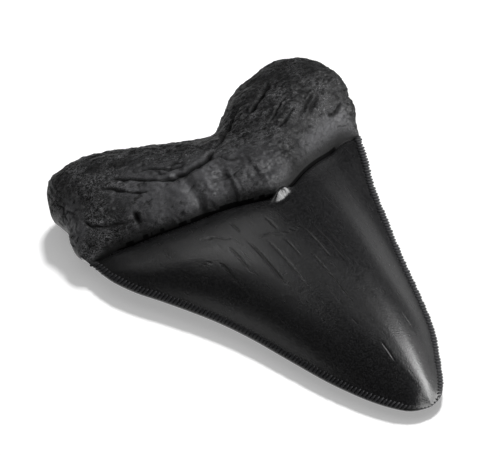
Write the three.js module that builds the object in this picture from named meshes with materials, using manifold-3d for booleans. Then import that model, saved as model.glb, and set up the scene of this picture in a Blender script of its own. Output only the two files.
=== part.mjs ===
import * as THREE from 'three';
import { mergeVertices } from 'three/addons/utils/BufferGeometryUtils.js';
import Module from 'manifold-3d';

// A fossil tooth of a giant shark, lying on its flat outer face: the two-lobed root is at +Y, the tip at -Y.
// Lengths are millimetres. Outline points are [x, y] as seen from above.

// Outline of the root: its two sides, and its base margin in two lobes with a notch between them
const LEFT_SIDE = [[-44.4, 14], [-43.4, 7.6], [-45.3, 1.5], [-44, -4.5]];
const RIGHT_SIDE = [[45.8, 15.6], [47.3, 8], [46.2, 2], [44.3, -2], [43, -5.2]];
const LEFT_LOBE = [[-44.4, 14], [-40.6, 20.6], [-34, 22.7], [-26, 22], [-17, 18.7], [-9, 15.2]];
const NOTCH = [3, 10.4];
const RIGHT_LOBE = [[9, 12.5], [17, 18.6], [26, 22.4], [34, 23.6], [41.4, 21.2], [45.8, 15.6]];

// Outline of the crown: the two cutting edges, from the shoulder to the blunt tip
const TIP = [1, -97];
const LEFT_EDGE = [
  [-44, -4.5], [-43, -12], [-40, -19.5], [-35.5, -27], [-29, -39], [-24.5, -50],
  [-20.5, -63], [-16.5, -75.5], [-11.5, -86.7], [-6.5, -94], [-3, -96.3], TIP,
];
const RIGHT_EDGE = [
  [43, -5.2], [41.5, -8.8], [39, -14.8], [34.9, -23.5], [29.8, -38], [25.7, -50],
  [21.5, -63.5], [17.5, -75], [12, -85.5], [8, -92.3], [5, -95.6], TIP,
];

// The neck is the line between root and crown: a chevron that reaches towards the tip
const NECK = [
  [-44, -4.5], [-37.3, -6.1], [-31, -8.6], [-23.5, -11.8], [-17, -14.2], [-9, -16.6], [-3.5, -19.1],
  [1.4, -21.4], [4, -21.9], [9.2, -20.5], [13.4, -18.2], [19.8, -14], [26.5, -9.9], [32.9, -6.5],
  [37.6, -4.8], [41.6, -5], [43, -5.2],
];

// Heights above the surface the tooth lies on
const RIM_AT_LOBES = 12.5;
const RIM_AT_SHOULDERS = 5.5;
const RIM_AT_TIP = 2.8;
const RIM_POWER = 0.9;
const ROOT_TOP = 24.5;
const ROOT_TOP_AT_SIDES = 19.8;
const NECK_TOP = 20.4;

// The root: the rounding of its rim, how far down it is fully arched, and its fall towards the neck. Shares
// of its length run from 0 at the base margin to 1 at the neck.
const ROOT_RIM_RADIUS = 9;
const ROOT_ARCHED_FROM = 0.7;
const ROOT_FRONT_START = 0.25;
const ROOT_FRONT_POWER = 1.9;

// The neck's furrow fades out towards both edges, and is a deeper and wider trough between the middle and
// the right shoulder. A sharp cut runs along its bottom.
const NECK_FURROW = { depth: 1.8, reach: 2.8, fadesFrom: 0.75, slant: 0.91 };
const NECK_TROUGH = { deeper: 1, wider: 2.2, begins: [4, 12], ends: [30, 42] };
const NECK_CUT = { width: 1.6, depth: 1.8 };

// The crown's length profile
const CROWN_TAPER = 0.93;
const CROWN_BELLY = 4.9;
const TIP_BLUNTNESS = 1.3;

// The crown's cross-section on both sides of its crest. Each list holds a value at the neck, one that pulls
// the middle of the crown, and one at the tip. The crest is a place from -1 to 1 across the crown.
const CREST = [0.08, -0.29, 0.015];
const LEFT_POWER = [1.3, 2.82, 1.3];
const RIGHT_POWER = [1.95, 3.39, 1.92];
const LEFT_HOLLOW = [0.82, 0.65, 1.05];
const RIGHT_HOLLOW = [1.81, 1.36, 1.01];
const EDGE_FLARE = 2;

// The lower face rises to the rim over this distance
const LOWER_FACE_ROUNDING = 20;
const LOWER_FACE_POWER = 2.5;
const LOWER_FACE_BLEND = 0.75;

// Serrations of the cutting edges, which are worn away near the tip
const TEETH_PER_ROW = 3;
const CROWN_ROWS = 32;
const ROOT_ROWS = 18;
const INNER_COLUMNS = 22;
const EDGE_BAND = 1.2;
const WIDEST_BAND_SHARE = 0.3;
const SERRATION_SHARE = 0.6;
const SERRATIONS_START = [0, 0.02];
const SERRATIONS_WEAR = [0.93, 0.98];

// How strongly the rows of the root and the columns of both faces crowd towards the rim, from 0 to 1
const ROW_CROWDING = 0.7;
const COLUMN_CROWDING = 0.6;

// The mound with the nutrient hole, in the middle of the neck, and a second hole on the left
const MOUND = { x: 4.8, y: -23.6, z: 19.3, radii: [3.5, 1.7, 1.5], turn: 0.44, facing: [0.33, -0.68, 1] };
const HOLE = { x: 5.3, y: -23.5, radius: 0.7, depth: 1.5 };
const SIDE_PIT = { x: -29.6, y: -5.4, radius: 0.9, depth: 1.4 };
const PIT_MOUTH_SHARE = 1.3;
const PIT_BOTTOM_SHARE = 0.6;
const PIT_SIDES = 10;
const MOUND_SIDES = 18;
const MOUND_RINGS = 12;

// Creases of the root, each with its width, its depth and its course
const CREASES = [
  [1.3, 1.0, [[-31, 6.4], [-26.5, 3.3], [-23, 0.1], [-19, -2.9], [-16, -4.1]]],
  [2.0, 1.9, [[-21, -1.4], [-19, -2.9], [-16, -4.1], [-8.5, -5], [-1, -2.6]]],
  [1.5, 1.3, [[-6, -4.3], [-3.9, -3.5], [2.3, -1.5], [8, -2], [13.7, -3.2]]],
  [1.3, 1.1, [[17, -4.6], [20.5, -2.4], [26.7, 1.3]]],
  [1.3, 1.0, [[-3.8, -2.4], [2.7, 1.4], [9.2, 6.6], [14.3, 10.6]]],
  [2.0, 1.8, [[13.3, 4.6], [17.3, 7], [22.8, 10.7], [26.5, 14.1]]],
  [1.2, 1.0, [[26.5, -2.2], [28.9, 0.3], [35.1, 4.6]]],
  [1.2, 1.0, [[29.6, -1.5], [32.1, 1.1], [36.1, 3.6]]],
  [1.4, 1.1, [[35.5, -1.4], [38.4, -0.1], [41.7, 1.2]]],
  [1.1, 0.9, [[16.8, -0.7], [20.4, 1.1], [26.4, 6]]],
  [1.2, 0.9, [[-35.8, 5.7], [-32.2, 4], [-29.5, 0.8], [-26.3, -1.5], [-23, -3.7]]],
  [1.2, 0.9, [[-24.3, 4.3], [-19.3, 1.7], [-15.6, -1.3], [-10.9, -2.4]]],
  [1.3, 1.0, [[-42.5, 3], [-40.6, 0.2], [-35.8, -3], [-31.1, -5.6]]],
];

// Lengthwise cracks in the crown's enamel, each as [x, y of its start, y of its end]
const CRACKS = [
  [-21.3, -32.5, -39.5], [-17.3, -30, -40.5], [-12.6, -32, -50.5], [-8.6, -36, -53], [-4.8, -38, -46],
  [-1.8, -45, -66], [1.6, -38, -50.5], [4.4, -38, -54], [6.7, -38, -51], [-2.1, -78.5, -84.7],
];
const CRACK_WIDTH = 0.6;
const CRACK_DEPTH = 0.45;

// Cutters stand this far above the surface, have a section every few millimetres, and run out at both ends
const CUTTER_LIFT = 1.5;
const CUTTER_STEP = 3;
const RUN_OUT_SHARE = 0.25;

// A height well above the tooth, from which the surface is looked for
const ABOVE_ALL = 100;

// How finely the outline is followed when the distance to it is measured
const LENGTH_DIVISIONS = 400;
const LONG_LINE_STEPS = 150;
const SIDE_LINE_STEPS = 40;

// Corners nearer to each other than this are one corner
const WELD_DISTANCE = 1e-4;

const UPPER_FACE = 1;
const LOWER_FACE = -1;

const { lerp, clamp, smoothstep } = THREE.MathUtils;

function curveThrough(points) {
  const curve = new THREE.SplineCurve(points.map(([x, y]) => new THREE.Vector2(x, y)));
  curve.arcLengthDivisions = LENGTH_DIVISIONS;
  return curve;
}

const base = curveThrough([...LEFT_LOBE, NOTCH, ...RIGHT_LOBE]);
const leftSide = curveThrough(LEFT_SIDE);
const rightSide = curveThrough(RIGHT_SIDE);
const leftEdge = curveThrough(LEFT_EDGE);
const rightEdge = curveThrough(RIGHT_EDGE);
const neckLine = curveThrough(NECK);

const outline = [
  ...base.getSpacedPoints(LONG_LINE_STEPS),
  ...rightSide.getSpacedPoints(SIDE_LINE_STEPS),
  ...rightEdge.getSpacedPoints(LONG_LINE_STEPS),
  ...leftEdge.getSpacedPoints(LONG_LINE_STEPS).reverse(),
  ...leftSide.getSpacedPoints(SIDE_LINE_STEPS).reverse(),
];

function distanceToSegment(point, start, end) {
  const span = end.clone().sub(start);
  const offset = point.clone().sub(start);
  const share = clamp(offset.dot(span) / Math.max(span.lengthSq(), 1e-12), 0, 1);
  return offset.distanceTo(span.multiplyScalar(share));
}

function distanceToOutline(point) {
  let nearest = Infinity;
  for (let i = 0; i < outline.length; i += 1) {
    const end = outline[(i + 1) % outline.length];
    nearest = Math.min(nearest, distanceToSegment(point, outline[i], end));
  }
  return nearest;
}

// Plan position on the tooth. "along" runs from -1 at the root's base margin through 0 at the neck to 1 at
// the tip, and "across" from -1 at the left edge to 1 at the right edge.
function planPoint(along, across) {
  const right = (1 + across) / 2;
  const neck = neckLine.getPointAt(right);
  if (along >= 0) {
    const shoulderLine = neckLine.getPoint(0).lerp(neckLine.getPoint(1), right);
    const point = leftEdge.getPointAt(along).lerp(rightEdge.getPointAt(along), right);
    return point.addScaledVector(neck.sub(shoulderLine), 1 - along);
  }
  const down = 1 + along;
  const point = base.getPointAt(right).lerp(neck, down);
  const leftChord = leftSide.getPoint(0).lerp(leftSide.getPoint(1), down);
  const rightChord = rightSide.getPoint(0).lerp(rightSide.getPoint(1), down);
  point.addScaledVector(leftSide.getPointAt(down).sub(leftChord), 1 - right);
  point.addScaledVector(rightSide.getPointAt(down).sub(rightChord), right);
  return point;
}

function rimHeight(along) {
  if (along >= 0) {
    return lerp(RIM_AT_SHOULDERS, RIM_AT_TIP, along ** RIM_POWER);
  }
  return lerp(RIM_AT_LOBES, RIM_AT_SHOULDERS, 1 + along);
}

// Quarter-round rise from the outline to the full height of the root
function rimRise(distance) {
  const inward = clamp(distance / ROOT_RIM_RADIUS, 0, 1);
  return Math.sqrt(1 - (1 - inward) ** 2);
}

// A value of the crown between the neck's and the tip's, pulled by the middle one
function alongCrown([neck, pull, tip], toTip) {
  return neck * (1 - toTip) ** 2 + 2 * pull * toTip * (1 - toTip) + tip * toTip ** 2;
}

// Rise of the crown's cross-section: 1 at the crest and 0 at the edges
function section(toTip, across) {
  const crest = alongCrown(CREST, toTip);
  if (across > crest) {
    const fromCrest = (across - crest) / (1 - crest);
    return (1 - fromCrest ** alongCrown(RIGHT_POWER, toTip)) ** alongCrown(RIGHT_HOLLOW, toTip);
  }
  const fromCrest = (crest - across) / (1 + crest);
  return (1 - fromCrest ** alongCrown(LEFT_POWER, toTip)) ** alongCrown(LEFT_HOLLOW, toTip);
}

// Depth of the furrow along the neck
function furrowDepth(plan, across) {
  const neck = neckLine.getPointAt((1 + across) / 2);
  const trough = smoothstep(plan.x, ...NECK_TROUGH.begins) * (1 - smoothstep(plan.x, ...NECK_TROUGH.ends));
  const depth = NECK_FURROW.depth + NECK_TROUGH.deeper * trough;
  const reach = NECK_FURROW.reach + NECK_TROUGH.wider * trough;
  const fade = 1 - smoothstep(Math.abs(across), NECK_FURROW.fadesFrom, 1);
  return depth * fade * Math.exp((-Math.abs(plan.y - neck.y) * NECK_FURROW.slant) / reach);
}

// The upper face: a thick rounded root that falls to the neck, and a crown that thins to the tip
function upperHeight(along, across, distance) {
  const rim = rimHeight(along);
  const lens = section(Math.max(along, 0), across) * Math.tanh(distance / EDGE_FLARE);
  if (along >= 0) {
    const taper = (NECK_TOP - RIM_AT_SHOULDERS) * (1 - along) ** CROWN_TAPER;
    const belly = CROWN_BELLY * 4 * along * (1 - along);
    const blunt = TIP_BLUNTNESS * 2 * along * Math.sqrt(1 - along);
    return rim + (taper + belly + blunt) * lens;
  }
  const down = 1 + along;
  const arch = (1 - across * across) * smoothstep(down, 0, ROOT_ARCHED_FROM);
  const root = lerp(rim, lerp(ROOT_TOP_AT_SIDES, ROOT_TOP, arch), rimRise(distance));
  const neck = rim + (NECK_TOP - RIM_AT_SHOULDERS) * lens;
  const fall = clamp((down - ROOT_FRONT_START) / (1 - ROOT_FRONT_START), 0, 1);
  return lerp(neck, root, 1 - fall ** ROOT_FRONT_POWER);
}

// The lower face: flat in the middle, where the tooth rests, and rounded up to the rim
function lowerHeight(along, distance) {
  const rim = rimHeight(along);
  const inward = clamp(distance / LOWER_FACE_ROUNDING, 0, 1);
  const crown = rim * (1 - inward) ** LOWER_FACE_POWER;
  if (along >= 0) {
    return crown;
  }
  return lerp(rim * (1 - rimRise(distance)), crown, smoothstep(1 + along, LOWER_FACE_BLEND, 1));
}

function rimPoint(along, across) {
  const plan = planPoint(along, across);
  return new THREE.Vector3(plan.x, plan.y, rimHeight(along));
}

// Both faces meet in the rim, so a point on the outline is the same for both
function facePoint(along, across, face) {
  if (Math.abs(across) === 1 || Math.abs(along) === 1) {
    return rimPoint(along, across);
  }
  const plan = planPoint(along, across);
  const distance = distanceToOutline(plan);
  if (face === LOWER_FACE) {
    return new THREE.Vector3(plan.x, plan.y, lowerHeight(along, distance));
  }
  const height = upperHeight(along, across, distance) - furrowDepth(plan, across);
  return new THREE.Vector3(plan.x, plan.y, height);
}

// The share of the half width that lies inside the narrow band along each edge
function innerShare(along) {
  const halfWidth = planPoint(along, 1).distanceTo(planPoint(along, -1)) / 2;
  return 1 - Math.min(EDGE_BAND / Math.max(halfWidth, 1e-6), WIDEST_BAND_SHARE);
}

// A serration's valley lies inside the outline, towards the edge band's inner side
function edgePoint(along, side, isPeak) {
  const rim = rimPoint(along, side);
  if (isPeak || along <= 0 || along >= 1) {
    return rim;
  }
  const cut = smoothstep(along, ...SERRATIONS_START) * (1 - smoothstep(along, ...SERRATIONS_WEAR));
  const inner = planPoint(along, side * innerShare(along));
  return rim.lerp(new THREE.Vector3(inner.x, inner.y, rim.z), SERRATION_SHARE * cut);
}

function rowPlaces() {
  const places = [];
  for (let i = 0; i < ROOT_ROWS; i += 1) {
    const even = i / ROOT_ROWS;
    const crowded = (1 - Math.cos(Math.PI * even)) / 2;
    places.push(lerp(even, crowded, ROW_CROWDING) - 1);
  }
  for (let i = 0; i <= CROWN_ROWS; i += 1) {
    places.push(i / CROWN_ROWS);
  }
  return places;
}

function columnPlaces(along) {
  const places = [-1];
  for (let j = 0; j <= INNER_COLUMNS; j += 1) {
    const even = (2 * j) / INNER_COLUMNS - 1;
    const crowded = Math.sin((Math.PI * even) / 2);
    places.push(lerp(even, crowded, COLUMN_CROWDING) * innerShare(along));
  }
  places.push(1);
  return places;
}

// Collects triangles, and turns those of the lower face over so that every face looks outwards
class Shell {
  constructor() {
    this.corners = [];
  }

  triangle(a, b, c, face) {
    const ordered = face === UPPER_FACE ? [a, b, c] : [a, c, b];
    this.corners.push(...ordered);
  }

  // One band between two rows of points, each with the same number of points
  band(first, second, face) {
    for (let j = 0; j + 1 < first.length; j += 1) {
      this.triangle(first[j], second[j], second[j + 1], face);
      this.triangle(first[j], second[j + 1], first[j + 1], face);
    }
  }

  // A serrated piece of edge, joined to the two inner points beside it
  fan(start, end, edge, side, face) {
    const turned = side * face;
    const half = (edge.length - 1) / 2;
    for (let k = 0; k + 1 < edge.length; k += 1) {
      this.triangle(k < half ? start : end, edge[k + 1], edge[k], turned);
    }
    this.triangle(start, end, edge[half], turned);
  }

  geometry() {
    const loose = new THREE.BufferGeometry().setFromPoints(this.corners);
    return closedGeometry(loose);
  }
}

// Merges shared corners, and drops the triangles that the merge leaves with no area
function closedGeometry(source) {
  const merged = source.clone();
  merged.deleteAttribute('normal');
  merged.deleteAttribute('uv');
  const welded = mergeVertices(merged, WELD_DISTANCE);
  const kept = [];
  for (let i = 0; i < welded.index.count; i += 3) {
    const corners = [welded.index.getX(i), welded.index.getX(i + 1), welded.index.getX(i + 2)];
    if (new Set(corners).size === 3) {
      kept.push(...corners);
    }
  }
  welded.setIndex(kept);
  return welded;
}

function toothGeometry() {
  const shell = new Shell();
  const rows = rowPlaces();
  for (const face of [UPPER_FACE, LOWER_FACE]) {
    const grid = rows.map((along) => columnPlaces(along).map((across) => facePoint(along, across, face)));
    for (let i = 0; i + 1 < rows.length; i += 1) {
      const inCrown = rows[i] >= 0;
      const inner = (row) => (inCrown ? row.slice(1, -1) : row);
      shell.band(inner(grid[i]), inner(grid[i + 1]), face);
      for (const side of inCrown ? [-1, 1] : []) {
        const edge = [];
        for (let k = 0; k <= 2 * TEETH_PER_ROW; k += 1) {
          const along = lerp(rows[i], rows[i + 1], k / (2 * TEETH_PER_ROW));
          edge.push(edgePoint(along, side, k % 2 === 1));
        }
        const beside = side < 0 ? 1 : grid[i].length - 2;
        shell.fan(grid[i][beside], grid[i + 1][beside], edge, side, face);
      }
    }
  }
  return shell.geometry();
}

const wasm = await Module();
wasm.setup();

function solidFrom(geometry) {
  const closed = closedGeometry(geometry);
  return new wasm.Manifold(new wasm.Mesh({
    numProp: 3,
    vertProperties: new Float32Array(closed.attributes.position.array),
    triVerts: new Uint32Array(closed.index.array),
  }));
}

function geometryFrom(solid) {
  const mesh = solid.getMesh();
  const geometry = new THREE.BufferGeometry();
  geometry.setAttribute('position', new THREE.BufferAttribute(new Float32Array(mesh.vertProperties), 3));
  geometry.setIndex(new THREE.BufferAttribute(new Uint32Array(mesh.triVerts), 1));
  return geometry;
}

// Height of the upper face above a plan position
function surfaceAt(surface, x, y) {
  const caster = new THREE.Raycaster(new THREE.Vector3(x, y, ABOVE_ALL), new THREE.Vector3(0, 0, -1));
  return caster.intersectObject(surface)[0].point;
}

// A V-shaped cutter that follows the surface and runs out to a point at both ends
function grooveCutter(surface, course, width, depth) {
  const path = curveThrough(course);
  const steps = Math.max(4, Math.round(path.getLength() / CUTTER_STEP));
  const sections = [];
  for (let i = 0; i <= steps; i += 1) {
    const share = i / steps;
    const plan = path.getPointAt(share);
    const heading = path.getTangentAt(share);
    const fade = Math.min(1, share / RUN_OUT_SHARE, (1 - share) / RUN_OUT_SHARE);
    const middle = surfaceAt(surface, plan.x, plan.y);
    const halfWidth = (fade * width * (depth + CUTTER_LIFT)) / (2 * depth);
    const sideways = new THREE.Vector3(-heading.y, heading.x, 0).multiplyScalar(halfWidth);
    const above = middle.clone().setZ(middle.z + CUTTER_LIFT * fade);
    const bottom = middle.clone().setZ(middle.z - depth * fade);
    sections.push([above.clone().add(sideways), above.clone().sub(sideways), bottom]);
  }
  const shell = new Shell();
  for (let i = 0; i < steps; i += 1) {
    const [near, far] = [sections[i], sections[i + 1]];
    for (let k = 0; k < 3; k += 1) {
      const next = (k + 1) % 3;
      shell.triangle(near[k], near[next], far[next], UPPER_FACE);
      shell.triangle(near[k], far[next], far[k], UPPER_FACE);
    }
  }
  return solidFrom(shell.geometry());
}

function moundSolid() {
  const upright = new THREE.Vector3(0, 0, 1);
  const facing = new THREE.Vector3(...MOUND.facing).normalize();
  const geometry = new THREE.SphereGeometry(1, MOUND_SIDES, MOUND_RINGS);
  geometry.scale(...MOUND.radii);
  geometry.rotateZ(MOUND.turn);
  geometry.applyQuaternion(new THREE.Quaternion().setFromUnitVectors(upright, facing));
  geometry.translate(MOUND.x, MOUND.y, MOUND.z);
  return solidFrom(geometry);
}

// A tapered hole that goes down into the surface
function pitCutter(surface, { x, y, radius, depth }) {
  const mouth = surfaceAt(surface, x, y);
  const mouthRadius = radius * PIT_MOUTH_SHARE;
  const bottomRadius = radius * PIT_BOTTOM_SHARE;
  const geometry = new THREE.CylinderGeometry(mouthRadius, bottomRadius, depth + CUTTER_LIFT, PIT_SIDES);
  geometry.rotateX(Math.PI / 2);
  geometry.translate(mouth.x, mouth.y, mouth.z + (CUTTER_LIFT - depth) / 2);
  return solidFrom(geometry);
}

function carvedTooth() {
  const surface = new THREE.Mesh(toothGeometry());
  const neckCourse = NECK.slice(1, -1);
  let solid = solidFrom(surface.geometry);
  solid = solid.subtract(grooveCutter(surface, neckCourse, NECK_CUT.width, NECK_CUT.depth));
  for (const [width, depth, course] of CREASES) {
    solid = solid.subtract(grooveCutter(surface, course, width, depth));
  }
  for (const [x, start, end] of CRACKS) {
    const course = [[x, start], [x, (start + end) / 2], [x, end]];
    solid = solid.subtract(grooveCutter(surface, course, CRACK_WIDTH, CRACK_DEPTH));
  }
  solid = solid.add(moundSolid());
  const withMound = new THREE.Mesh(geometryFrom(solid));
  for (const pit of [HOLE, SIDE_PIT]) {
    solid = solid.subtract(pitCutter(withMound, pit));
  }
  return solid;
}

// The origin is under the middle of the tooth, on the surface it lies on
function centred(geometry) {
  geometry.computeBoundingBox();
  const { min, max } = geometry.boundingBox;
  geometry.translate(-(min.x + max.x) / 2, -(min.y + max.y) / 2, -min.z);
  return geometry;
}

const fossil = new THREE.MeshStandardMaterial({ color: 0x1c1c1e, roughness: 0.45, metalness: 0 });
const tooth = new THREE.Mesh(centred(geometryFrom(carvedTooth())), fossil);
tooth.name = 'tooth';

const part = new THREE.Group();
part.add(tooth);

export default part;
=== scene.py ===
import math

import bpy
import numpy as np
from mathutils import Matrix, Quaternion, Vector, noise


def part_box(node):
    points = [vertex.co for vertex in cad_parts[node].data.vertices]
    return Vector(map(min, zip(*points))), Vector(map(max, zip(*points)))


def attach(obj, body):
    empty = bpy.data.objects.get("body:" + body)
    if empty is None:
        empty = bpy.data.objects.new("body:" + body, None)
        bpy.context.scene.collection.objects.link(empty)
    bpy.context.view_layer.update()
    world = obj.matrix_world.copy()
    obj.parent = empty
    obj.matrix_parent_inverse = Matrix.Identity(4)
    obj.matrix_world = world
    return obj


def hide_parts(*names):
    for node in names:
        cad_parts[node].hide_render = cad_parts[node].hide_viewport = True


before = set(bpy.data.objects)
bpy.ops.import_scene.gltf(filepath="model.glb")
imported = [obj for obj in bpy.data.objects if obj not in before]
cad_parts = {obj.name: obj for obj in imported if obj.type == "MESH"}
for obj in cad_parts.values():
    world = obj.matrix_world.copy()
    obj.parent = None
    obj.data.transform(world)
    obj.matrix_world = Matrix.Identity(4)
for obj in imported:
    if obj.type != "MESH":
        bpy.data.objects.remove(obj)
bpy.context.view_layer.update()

# The tooth is one natural piece: a thick rough root in two lobes, and a smooth crown with two cutting
# edges. It is mineralised dentine under a skin of enamel, turned black in the sea bed. It grew in one piece,
# and its folds, creases and cracks came with age and burial.
MM = 0.001

# Outline of the root, [x, y] in millimetres seen from above: its two sides and its base margin
LEFT_SIDE = [[-44.4, 14], [-43.4, 7.6], [-45.3, 1.5], [-44, -4.5]]
RIGHT_SIDE = [[45.8, 15.6], [47.3, 8], [46.2, 2], [44.3, -2], [43, -5.2]]
LEFT_LOBE = [[-44.4, 14], [-40.6, 20.6], [-34, 22.7], [-26, 22], [-17, 18.7], [-9, 15.2]]
NOTCH = [3, 10.4]
RIGHT_LOBE = [[9, 12.5], [17, 18.6], [26, 22.4], [34, 23.6], [41.4, 21.2], [45.8, 15.6]]
BASE_MARGIN = LEFT_LOBE + [NOTCH] + RIGHT_LOBE

# Outline of the crown: the two cutting edges, from the shoulder to the blunt tip
TIP = [1, -97]
LEFT_EDGE = [
    [-44, -4.5], [-43, -12], [-40, -19.5], [-35.5, -27], [-29, -39], [-24.5, -50],
    [-20.5, -63], [-16.5, -75.5], [-11.5, -86.7], [-6.5, -94], [-3, -96.3], TIP,
]
RIGHT_EDGE = [
    [43, -5.2], [41.5, -8.8], [39, -14.8], [34.9, -23.5], [29.8, -38], [25.7, -50],
    [21.5, -63.5], [17.5, -75], [12, -85.5], [8, -92.3], [5, -95.6], TIP,
]

# The neck, the line between root and crown, is a chevron that points to the tip
NECK = [
    [-44, -4.5], [-37.3, -6.1], [-31, -8.6], [-23.5, -11.8], [-17, -14.2], [-9, -16.6], [-3.5, -19.1],
    [1.4, -21.4], [4, -21.9], [9.2, -20.5], [13.4, -18.2], [19.8, -14], [26.5, -9.9], [32.9, -6.5],
    [37.6, -4.8], [41.6, -5], [43, -5.2],
]

# Heights above the floor
RIM_AT_LOBES = 12.5
RIM_AT_SHOULDERS = 5.5
RIM_AT_TIP = 2.8
RIM_POWER = 0.9
ROOT_TOP = 24.5
ROOT_TOP_AT_SIDES = 19.8
NECK_TOP = 20.4

# The root has a rounded rim and falls to the neck. Shares of its length run from base margin to neck.
ROOT_RIM_RADIUS = 9
ROOT_ARCHED = (0, 0.7)
ROOT_FRONT_START = 0.25
ROOT_FRONT_POWER = 1.9

# The lower face is flat in the middle, and rounded up to the rim
LOWER_FACE_ROUNDING = 20
LOWER_FACE_POWER = 2.5
LOWER_FACE_BLEND = (0.75, 1)

# The crown's length profile. Each list of its cross-section holds a value at the neck, one that pulls the
# middle of the crown, and one at the tip. The crest is a place from -1 to 1 across the crown.
CROWN_BELLY = 4.9
CROWN_TAPER = 0.93
TIP_BLUNTNESS = 1.3
CREST = [0.08, -0.29, 0.015]
LEFT_POWER = [1.3, 2.82, 1.3]
RIGHT_POWER = [1.95, 3.39, 1.92]
LEFT_HOLLOW = [0.82, 0.65, 1.05]
RIGHT_HOLLOW = [1.81, 1.36, 1.01]

# The cutting edge: its rounding, the low bevel beside it, and where it begins along the crown
EDGE_RADIUS = 0.55
EDGE_BEVEL = 2.6
EDGE_BEVEL_RISE = 0.3
EDGE_FLARE = 2.0
EDGE_BEGINS = (-0.01, 0.03)

# The serrations stand this far out of the body of the blade, and are worn away at the tip
SERRATION_DEPTH = 0.15
SERRATIONS_BEGIN = (0, 0.02)
SERRATIONS_WEAR = (0.93, 0.98)

# A curve is followed in this many steps, and this many points are measured at once
CURVE_STEPS = 600
POINTS_AT_ONCE = 4000


def curve_through(points, share):
    """Places on a smooth curve through points, at shares from 0 to 1 of its length."""
    fixed = np.asarray(points, float)
    last = len(fixed) - 1
    place = np.linspace(0, last, CURVE_STEPS)
    start = np.minimum(place.astype(int), last - 1)
    part = (place - start)[:, None]
    before = fixed[np.maximum(start - 1, 0)]
    near = fixed[start]
    far = fixed[start + 1]
    after = fixed[np.minimum(start + 2, last)]
    leave = (far - before) / 2
    arrive = (after - near) / 2
    fine = (
        (2 * near - 2 * far + leave + arrive) * part**3
        + (3 * far - 3 * near - 2 * leave - arrive) * part**2
        + leave * part
        + near
    )
    length = np.append(0, np.cumsum(np.linalg.norm(np.diff(fine, axis=0), axis=1)))
    length /= length[-1]
    return np.stack([np.interp(share, length, fine[:, axis]) for axis in (0, 1)], axis=-1)


def smooth(low, high, value):
    """0 below low, 1 above high, and an S-curve between."""
    part = np.clip((value - low) / (high - low), 0, 1)
    return part * part * (3 - 2 * part)


def stretch_of(begins, ends, value):
    """Rises from 0 to 1 where the stretch begins, and falls to 0 where it ends."""
    return smooth(*begins, value) * (1 - smooth(*ends, value))


def bell(value, width):
    """1 at 0, and next to nothing at twice the width."""
    return np.exp(-((value / width) ** 2))


def blend(first, second, share):
    return first + (second - first) * share


def plan(along, across):
    """[x, y] on the tooth: along is -1 at the base margin, 0 at the neck, 1 at the tip."""
    right = ((1 + across) / 2)[..., None]
    neck = curve_through(NECK, (1 + across) / 2)
    neck_bow = neck - blend(np.array(NECK[0]), np.array(NECK[-1]), right)
    to_tip = np.clip(along, 0, 1)
    left_edge = curve_through(LEFT_EDGE, to_tip)
    right_edge = curve_through(RIGHT_EDGE, to_tip)
    worn_in = SERRATION_DEPTH * stretch_of(SERRATIONS_BEGIN, SERRATIONS_WEAR, to_tip)
    width = np.linalg.norm(right_edge - left_edge, axis=-1)
    inset = (worn_in / np.maximum(width, 1))[..., None]
    crown = blend(left_edge, right_edge, blend(inset, 1 - inset, right))
    crown = crown + (1 - to_tip)[..., None] * neck_bow
    down = np.clip(1 + along, 0, 1)
    base = curve_through(BASE_MARGIN, (1 + across) / 2)
    left_chord = blend(np.array(LEFT_SIDE[0]), np.array(LEFT_SIDE[-1]), down[..., None])
    right_chord = blend(np.array(RIGHT_SIDE[0]), np.array(RIGHT_SIDE[-1]), down[..., None])
    left_bulge = curve_through(LEFT_SIDE, down) - left_chord
    right_bulge = curve_through(RIGHT_SIDE, down) - right_chord
    root = blend(base, neck, down[..., None]) + blend(left_bulge, right_bulge, right)
    return np.where((along < 0)[..., None], root, crown)


def distance_to_line(points, line, closed=False):
    """Shortest distance from each of points to a line of short segments."""
    starts = line if closed else line[:-1]
    ends = np.roll(line, -1, axis=0) if closed else line[1:]
    spans = ends - starts
    squares = np.maximum((spans**2).sum(axis=1), 1e-12)
    flat = points.reshape(-1, 2)
    nearest = np.empty(len(flat))
    for first in range(0, len(flat), POINTS_AT_ONCE):
        some = np.s_[first:first + POINTS_AT_ONCE]
        offset = flat[some, None, :] - starts
        share = np.clip((offset * spans).sum(axis=-1) / squares, 0, 1)
        away = offset - share[..., None] * spans
        nearest[some] = np.sqrt((away**2).sum(axis=-1).min(axis=1))
    return nearest.reshape(points.shape[:-1])


def quarter_round(inward):
    """Rise of a quarter circle, from 0 at the rim to 1 at its full height."""
    return np.sqrt(1 - (1 - np.clip(inward, 0, 1)) ** 2)


def rim_height(along):
    crown = blend(RIM_AT_SHOULDERS, RIM_AT_TIP, np.clip(along, 0, 1) ** RIM_POWER)
    root = blend(RIM_AT_LOBES, RIM_AT_SHOULDERS, np.clip(1 + along, 0, 1))
    return np.where(along < 0, root, crown)


def along_crown(values, to_tip):
    """A value that goes from the neck's to the tip's, pulled by the middle one."""
    neck, pull, tip = values
    return neck * (1 - to_tip) ** 2 + 2 * pull * to_tip * (1 - to_tip) + tip * to_tip**2


def section(to_tip, across):
    """Rise of the crown's cross-section, 1 at the crest and 0 at the edges."""
    crest = along_crown(CREST, to_tip)
    right = across > crest
    from_crest = np.abs(across - crest) / np.where(right, 1 - crest, 1 + crest)
    power = np.where(right, along_crown(RIGHT_POWER, to_tip), along_crown(LEFT_POWER, to_tip))
    hollow = np.where(right, along_crown(RIGHT_HOLLOW, to_tip), along_crown(LEFT_HOLLOW, to_tip))
    return np.clip(1 - from_crest**power, 0, 1) ** hollow


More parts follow.
